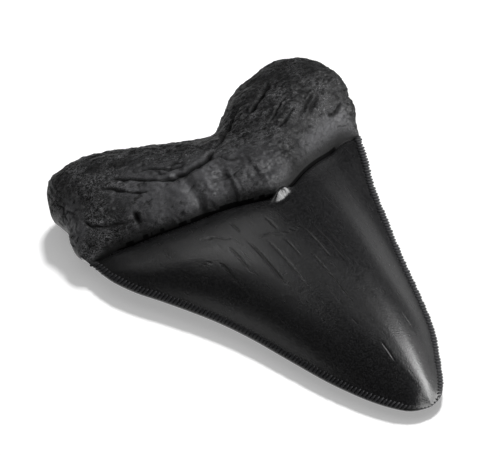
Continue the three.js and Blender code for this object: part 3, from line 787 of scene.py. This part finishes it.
shader = add(
    tree, "ShaderNodeBsdfPrincipled", Base_Color=dark, Roughness=rough, Normal=normal, IOR=DENTINE_IOR,
)
add(tree, "ShaderNodeOutputMaterial", Surface=shader.outputs["BSDF"])

# Black fossil enamel: dense apatite, laid down smooth and polished by sand. It has the satin gloss of a worn
# stone, with fine lengthwise drag marks and a faint dusty grain, which is drawn coarser than the real one.
ENAMEL_BLACK = "#040405"
ENAMEL_DUST = "#1e1e1f"
ENAMEL_IOR = 1.6
ENAMEL_ROUGHNESS = (0.21, 0.28)
ENAMEL_PAINTED_SHADE_ROUGHNESS = 0.35
ENAMEL_GRAIN = 0.4
DUST_REACH = (0.42, 0.66)
ENAMEL_GRAIN_RELIEF = 0.09
DRAG_WIDTH = 0.7
DRAG_STRETCH = (1, 0.06, 1)
DRAG_REACH = (0.3, 0.7)
DRAG_RELIEF = 0.05

enamel_finish = bpy.data.materials.new("black_fossil_enamel")
enamel_finish.use_nodes = True
tree = enamel_finish.node_tree
tree.nodes.clear()
place = add(tree, "ShaderNodeTexCoord").outputs["Object"]
in_painted_shade = add(tree, "ShaderNodeAttribute", {"attribute_name": "painted_shade"}).outputs["Fac"]
grain = add(
    tree, "ShaderNodeTexNoise", Vector=place, Scale=1 / (ENAMEL_GRAIN * MM), Detail=2.0, Roughness=0.5,
).outputs["Fac"]
lengthwise = add(tree, "ShaderNodeMapping", Vector=place, Scale=DRAG_STRETCH).outputs["Vector"]
drag = add(
    tree, "ShaderNodeTexNoise", Vector=lengthwise, Scale=1 / (DRAG_WIDTH * MM), Detail=3.0, Roughness=0.6,
).outputs["Fac"]
speck = add(
    tree, "ShaderNodeMapRange", Value=grain, From_Min=DUST_REACH[0], From_Max=DUST_REACH[1],
    To_Min=0.0, To_Max=1.0,
).outputs["Result"]
dusty = add(
    tree, "ShaderNodeMix", {"data_type": "RGBA"}, i0=speck, i6=linear(ENAMEL_BLACK), i7=linear(ENAMEL_DUST),
).outputs[2]
# Painted shade: the creases, cracks, the neck and the gaps between the serrations are painted black
dark = add(
    tree, "ShaderNodeMix", {"data_type": "RGBA"}, i0=in_painted_shade, i6=dusty, i7=linear(PAINTED_SHADE_BLACK),
).outputs[2]
rough = add(
    tree, "ShaderNodeMapRange", Value=drag, From_Min=DRAG_REACH[0], From_Max=DRAG_REACH[1],
    To_Min=ENAMEL_ROUGHNESS[0], To_Max=ENAMEL_ROUGHNESS[1],
).outputs["Result"]
rough = add(tree, "ShaderNodeMix", i0=in_painted_shade, i2=rough, i3=ENAMEL_PAINTED_SHADE_ROUGHNESS).outputs[0]
normal = add(
    tree, "ShaderNodeBump", Strength=0.6, Distance=ENAMEL_GRAIN_RELIEF * MM, Height=grain,
).outputs["Normal"]
normal = add(
    tree, "ShaderNodeBump", Strength=0.1, Distance=DRAG_RELIEF * MM, Height=drag, Normal=normal,
).outputs["Normal"]
shader = add(
    tree, "ShaderNodeBsdfPrincipled", Base_Color=dark, Roughness=rough, Normal=normal, IOR=ENAMEL_IOR,
)
add(tree, "ShaderNodeOutputMaterial", Surface=shader.outputs["BSDF"])


def plain_material(name, colour, roughness, ior):
    """A material of one colour and one gloss."""
    material = bpy.data.materials.new(name)
    material.use_nodes = True
    surface = material.node_tree.nodes["Principled BSDF"].inputs
    surface["Base Color"].default_value = linear(colour)
    surface["Roughness"].default_value = roughness
    surface["IOR"].default_value = ior
    return material


# The dull black film in the cut of the neck is painted shade that darkens the cut. It also stands for what
# is left of the thin band between root and enamel, and it swallows the light.
neck_shade_film = plain_material("painted_shade_neck_film", "#030303", roughness=0.7, ior=1.12)

# A face has the finish that covers more than half of it. The enamel reaches up over the mound.
MOUND_ENAMEL = 1.5
MOST_OF_FACE = 0.5

enamel_values = both_faces(np.maximum(enamel, in_mound < MOUND_ENAMEL), low_enamel)
shade_film_values = both_faces(shade_film, nowhere_below)
DENTINE_FINISH = 0
ENAMEL_FINISH = 1
SHADE_FILM_FINISH = 2
for material in (dentine, enamel_finish, neck_shade_film):
    tooth_body.data.materials.append(material)
finish_of_face = []
for face in faces:
    finish = ENAMEL_FINISH if enamel_values[face].mean() > MOST_OF_FACE else DENTINE_FINISH
    finish_of_face.append(SHADE_FILM_FINISH if shade_film_values[face].mean() > MOST_OF_FACE else finish)
tooth_body.data.polygons.foreach_set("material_index", finish_of_face)
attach(tooth_body, "root")
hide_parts("tooth")

# The serrations are a row of small rounded teeth along each cutting edge, of the same enamel. They grow out
# of the blade's rim. Their crests are painted greyer than the blade, partly for wear and partly as painted
# light, and wear has taken them away at the tip.
SERRATIONS = 188
SERRATION_LENGTH = 0.86
SERRATION_THICKNESS = 1.0
SERRATION_REACH = 2.3
SERRATION_INSET = 0.6
SERRATION_AIM = 0.4
WORN_AT_TIP = 0.04
LEAST_SERRATION = 0.35
SERRATION_SPREAD = (0.85, 1.1)
SERRATION_SEED = 4

# Worn fossil enamel: the same dense apatite with its polish rubbed off, a dull dark grey that is painted
# lighter than the blade, partly for wear and partly as painted light
worn_and_lit_enamel = plain_material("worn_and_lit_fossil_enamel", "#222224", roughness=0.48, ior=1.28)

# The rim is looked for in this many columns from each edge
RIM_COLUMNS = 40
left_columns = np.s_[:RIM_COLUMNS]
right_columns = np.s_[:-RIM_COLUMNS - 1:-1]


def rim_places(columns_from_edge, inset):
    """Points on the finished surface at a distance in from one cutting edge, from neck to tip."""
    places = []
    for row in range(ROOT_ROWS + 1, along.shape[0] - 1):
        distance = edge_distance[row][columns_from_edge]
        surface = upper[row][columns_from_edge]
        places.append([np.interp(inset, distance, surface[:, axis]) for axis in range(3)])
    return np.array(places)


def outward_from_rim(columns_from_edge):
    outer = rim_places(columns_from_edge, SERRATION_INSET - SERRATION_AIM)
    return outer - rim_places(columns_from_edge, SERRATION_INSET + SERRATION_AIM)


left_rim = rim_places(left_columns, SERRATION_INSET)
right_rim = rim_places(right_columns, SERRATION_INSET)
rim_line = np.concatenate([left_rim, right_rim[::-1]]) * MM + shift
rim_out = np.concatenate([outward_from_rim(left_columns), outward_from_rim(right_columns)[::-1]])
line_mesh = bpy.data.meshes.new("serration_line")
line_edges = [(i, i + 1) for i in range(len(rim_line) - 1)]
line_mesh.from_pydata([tuple(rim_point) for rim_point in rim_line], line_edges, [])
outward_attribute = line_mesh.attributes.new("outward", "FLOAT_VECTOR", "POINT")
outward_attribute.data.foreach_set("vector", rim_out.astype(np.float32).ravel())
serration_line = bpy.data.objects.new("serration_line", line_mesh)
bpy.context.scene.collection.objects.link(serration_line)

grow = bpy.data.node_groups.new("grow_serrations", "GeometryNodeTree")
grow.interface.new_socket("Edge", in_out="INPUT", socket_type="NodeSocketGeometry")
for name, kind in (
    ("Count", "NodeSocketInt"), ("Length", "NodeSocketFloat"), ("Thickness", "NodeSocketFloat"),
    ("Reach", "NodeSocketFloat"), ("Worn at tip", "NodeSocketFloat"), ("Seed", "NodeSocketInt"),
    ("Material", "NodeSocketMaterial"),
):
    grow.interface.new_socket(name, in_out="INPUT", socket_type=kind)
grow.interface.new_socket("Serrations", in_out="OUTPUT", socket_type="NodeSocketGeometry")
given = add(grow, "NodeGroupInput").outputs
rim_curve = add(grow, "GeometryNodeMeshToCurve", Mesh=given["Edge"]).outputs["Curve"]
part_way = add(grow, "GeometryNodeSplineParameter").outputs["Factor"]
marked = add(
    grow, "GeometryNodeStoreNamedAttribute", {"data_type": "FLOAT", "domain": "POINT"},
    Geometry=rim_curve, Name="part_way", Value=part_way,
)
planting = add(grow, "GeometryNodeCurveToPoints", Curve=marked.outputs["Geometry"], Count=given["Count"])
outward = add(
    grow, "GeometryNodeInputNamedAttribute", {"data_type": "FLOAT_VECTOR"}, Name="outward",
).outputs["Attribute"]
pointing = add(grow, "FunctionNodeAlignRotationToVector", {"axis": "Z"}, Vector=outward).outputs["Rotation"]
turned = add(
    grow, "FunctionNodeAlignRotationToVector", {"axis": "X", "pivot_axis": "Z"},
    Rotation=pointing, Vector=planting.outputs["Tangent"],
).outputs["Rotation"]
rounded = add(grow, "GeometryNodeMeshUVSphere", Segments=10, Rings=8, Radius=0.5)
where = add(
    grow, "GeometryNodeInputNamedAttribute", {"data_type": "FLOAT"}, Name="part_way",
).outputs["Attribute"]
from_tip = add(grow, "ShaderNodeMath", {"operation": "SUBTRACT"}, i0=where, i1=0.5).outputs[0]
from_tip = add(grow, "ShaderNodeMath", {"operation": "ABSOLUTE"}, i0=from_tip).outputs[0]
left_by_wear = add(
    grow, "ShaderNodeMapRange", {"interpolation_type": "SMOOTHSTEP"}, Value=from_tip, From_Min=0.01,
    From_Max=given["Worn at tip"], To_Min=LEAST_SERRATION, To_Max=1.0,
).outputs["Result"]
spread = add(
    grow, "FunctionNodeRandomValue", {"data_type": "FLOAT"}, i2=SERRATION_SPREAD[0], i3=SERRATION_SPREAD[1],
    Seed=given["Seed"],
)
factor = add(
    grow, "ShaderNodeMath", {"operation": "MULTIPLY"}, i0=left_by_wear, i1=spread.outputs[1],
).outputs[0]
size = add(grow, "ShaderNodeCombineXYZ", X=given["Length"], Y=given["Thickness"], Z=given["Reach"])
varied = add(
    grow, "ShaderNodeVectorMath", {"operation": "SCALE"}, i0=size.outputs["Vector"], Scale=factor,
)
planted = add(
    grow, "GeometryNodeInstanceOnPoints", Points=planting.outputs["Points"],
    Instance=rounded.outputs["Mesh"], Rotation=turned, Scale=varied.outputs["Vector"],
)
real = add(grow, "GeometryNodeRealizeInstances", Geometry=planted.outputs["Instances"])
soft = add(grow, "GeometryNodeSetShadeSmooth", Geometry=real.outputs["Geometry"])
painted = add(
    grow, "GeometryNodeSetMaterial", Geometry=soft.outputs["Geometry"], Material=given["Material"],
)
add(grow, "NodeGroupOutput", Serrations=painted.outputs["Geometry"])

grower = serration_line.modifiers.new("grow_serrations", "NODES")
grower.node_group = grow
inputs = {
    "Count": SERRATIONS, "Length": SERRATION_LENGTH * MM, "Thickness": SERRATION_THICKNESS * MM,
    "Reach": SERRATION_REACH * MM, "Worn at tip": WORN_AT_TIP, "Seed": SERRATION_SEED,
    "Material": worn_and_lit_enamel,
}
for item in grow.interface.items_tree:
    if item.in_out == "INPUT" and item.name in inputs:
        grower[item.identifier] = inputs[item.name]
evaluated = serration_line.evaluated_get(bpy.context.evaluated_depsgraph_get())
serration_mesh = bpy.data.meshes.new_from_object(evaluated)
bpy.data.objects.remove(serration_line)
serrations = bpy.data.objects.new("serrations", serration_mesh)
bpy.context.scene.collection.objects.link(serrations)
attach(serrations, "root")

# The tooth lies on a plain white table top with a matt finish. The table glows a little, as a lit studio
# table does, so that the shadow stays soft and pale.
FLOOR_HALF_SIZE = 3
FLOOR_GLOW = 0.31
quarters = ((-1, -1), (1, -1), (1, 1), (-1, 1))
floor_corners = [(x * FLOOR_HALF_SIZE, y * FLOOR_HALF_SIZE, 0) for x, y in quarters]
floor = mesh_object("floor", floor_corners, [[0, 1, 2, 3]])
table_top = plain_material("matt_white_table_top", "#f4f4f4", roughness=0.9, ior=1.5)
glowing = table_top.node_tree.nodes["Principled BSDF"].inputs
glowing["Emission Color"].default_value = (1, 1, 1, 1)
glowing["Emission Strength"].default_value = FLOOR_GLOW
floor.data.materials.append(table_top)
floor.visible_glossy = False


# The camera looks down on the tooth from its left front. It stands far away behind a long lens, so that
# the view is nearly flat and keeps the tooth's proportions.
def direction(azimuth, elevation):
    """Unit vector towards a place round the tooth: azimuth 0 is in front, towards -Y."""
    heading = math.radians(azimuth)
    up = math.radians(elevation)
    return Vector((math.sin(heading) * math.cos(up), -math.cos(heading) * math.cos(up), math.sin(up)))


CAMERA_AZIMUTH = -34.93
CAMERA_ELEVATION = 44.14
CAMERA_DISTANCE = 2.5
CAMERA_FOCAL_LENGTH = 680
CAMERA_SENSOR = 36
CAMERA_REACH = 20
IMAGE_WIDTH = 500
IMAGE_HEIGHT = 456

# This point of the tooth shows at this pixel of the picture
AIM = Vector((-0.76, 1.71, 8)) * MM
AIM_PIXEL = (293.0, 256.9)

towards_camera = direction(CAMERA_AZIMUTH, CAMERA_ELEVATION)
view_turn = towards_camera.to_track_quat("Z", "Y")
metres_per_pixel = CAMERA_DISTANCE * CAMERA_SENSOR / CAMERA_FOCAL_LENGTH / IMAGE_WIDTH
aim_right = (IMAGE_WIDTH / 2 - AIM_PIXEL[0]) * metres_per_pixel
aim_up = (AIM_PIXEL[1] - IMAGE_HEIGHT / 2) * metres_per_pixel
view_centre = AIM + view_turn @ Vector((aim_right, aim_up, 0))
camera_lens = bpy.data.cameras.new("camera")
camera_lens.lens = CAMERA_FOCAL_LENGTH
camera_lens.sensor_width = CAMERA_SENSOR
camera_lens.clip_end = CAMERA_REACH
camera = bpy.data.objects.new("camera", camera_lens)
camera.location = view_centre + towards_camera * CAMERA_DISTANCE
camera.rotation_euler = view_turn.to_euler()
bpy.context.scene.collection.objects.link(camera)
bpy.context.scene.camera = camera

# Soft studio lights: two over the table, and a ring of soft panels round the tooth, low and on the right for
# the most part. They give the crown its two long soft highlights, and the root its grazing light.
LIGHT_DISTANCE = 2.0


def softbox(name, azimuth, elevation, half_width, half_height, roll, radiance):
    """A rectangular studio light that faces the tooth; its half sizes and roll are in degrees."""
    light = bpy.data.lights.new(name, "AREA")
    light.shape = "RECTANGLE"
    light.size = 2 * LIGHT_DISTANCE * math.tan(math.radians(half_width))
    light.size_y = 2 * LIGHT_DISTANCE * math.tan(math.radians(half_height))
    light.energy = radiance * light.size * light.size_y * math.pi
    lamp = bpy.data.objects.new(name, light)
    lamp.location = direction(azimuth, elevation) * LIGHT_DISTANCE
    facing = direction(azimuth, elevation).to_track_quat("Z", "Y")
    lamp.rotation_euler = (facing @ Quaternion((0, 0, 1), math.radians(roll))).to_euler()
    lamp.visible_camera = False
    bpy.context.scene.collection.objects.link(lamp)
    return lamp


table_lights = [
    softbox("floor_key", 137, 57, 4.6, 4.6, 0, 106.0),
    softbox("floor_fill", 175, 80, 28, 26, 0, 0.5),
]
tooth_lights = [
    softbox("right_wide", 59, 16, 42, 31, 9, 1.0),
    softbox("right_front", 47, 38, 33, 24, 25, 4.7),
    softbox("right_core", 63, 20, 31, 13.4, 43, 4.3),
    softbox("behind", -144, 61, 11.2, 2.6, -14, 3.5),
    softbox("behind_left", -116, 48, 6.7, 6.9, 0, 0.45),
    softbox("behind_right", 174, 51, 8.3, 18, -48, 0.75),
    softbox("high", 137, 67, 33, 16, -7, 0.28),
    softbox("low_left", -88, 4, 18, 5, 0, 0.75),
    softbox("low_behind_left", -135, 0, 16, 11, 0, 3.2),
]
for lights, receivers in ((table_lights, [floor]), (tooth_lights, [tooth_body, serrations])):
    lit = bpy.data.collections.new("lit")
    for piece in receivers:
        lit.objects.link(piece)
    for light in lights:
        light.light_linking.receiver_collection = lit

# The room round the tooth is dim. The pale table below the tooth bounces light up into its gloss, but for
# the side where the table lies in the tooth's own shade.
ROOM_GLOW = 0.065
TABLE_BEGINS = (-0.1, -0.2)
TABLE_BOUNCE = 1.2
SHADED_BOUNCE = 0.28
SHADED_SIDE = direction(115, 0)
SHADE_BEGINS = (0.8, 0.93)

world = bpy.data.worlds.new("studio")
world.use_nodes = True
around = world.node_tree
towards = add(around, "ShaderNodeTexCoord").outputs["Generated"]
upward = add(around, "ShaderNodeSeparateXYZ", Vector=towards).outputs["Z"]
to_shade = add(
    around, "ShaderNodeVectorMath", {"operation": "DOT_PRODUCT"}, i0=towards, i1=SHADED_SIDE,
).outputs["Value"]
below = add(
    around, "ShaderNodeMapRange", Value=upward, From_Min=TABLE_BEGINS[0], From_Max=TABLE_BEGINS[1],
    To_Min=0.0, To_Max=1.0,
).outputs["Result"]
bounce = add(
    around, "ShaderNodeMapRange", Value=to_shade, From_Min=SHADE_BEGINS[0], From_Max=SHADE_BEGINS[1],
    To_Min=TABLE_BOUNCE, To_Max=SHADED_BOUNCE,
).outputs["Result"]
bounce = add(around, "ShaderNodeMath", {"operation": "MULTIPLY"}, i0=below, i1=bounce).outputs[0]
glow = add(around, "ShaderNodeMath", {"operation": "ADD"}, i0=bounce, i1=ROOM_GLOW).outputs[0]
around.links.new(glow, around.nodes["Background"].inputs["Color"])
bpy.context.scene.world = world
bpy.context.scene.view_settings.view_transform = "Standard"
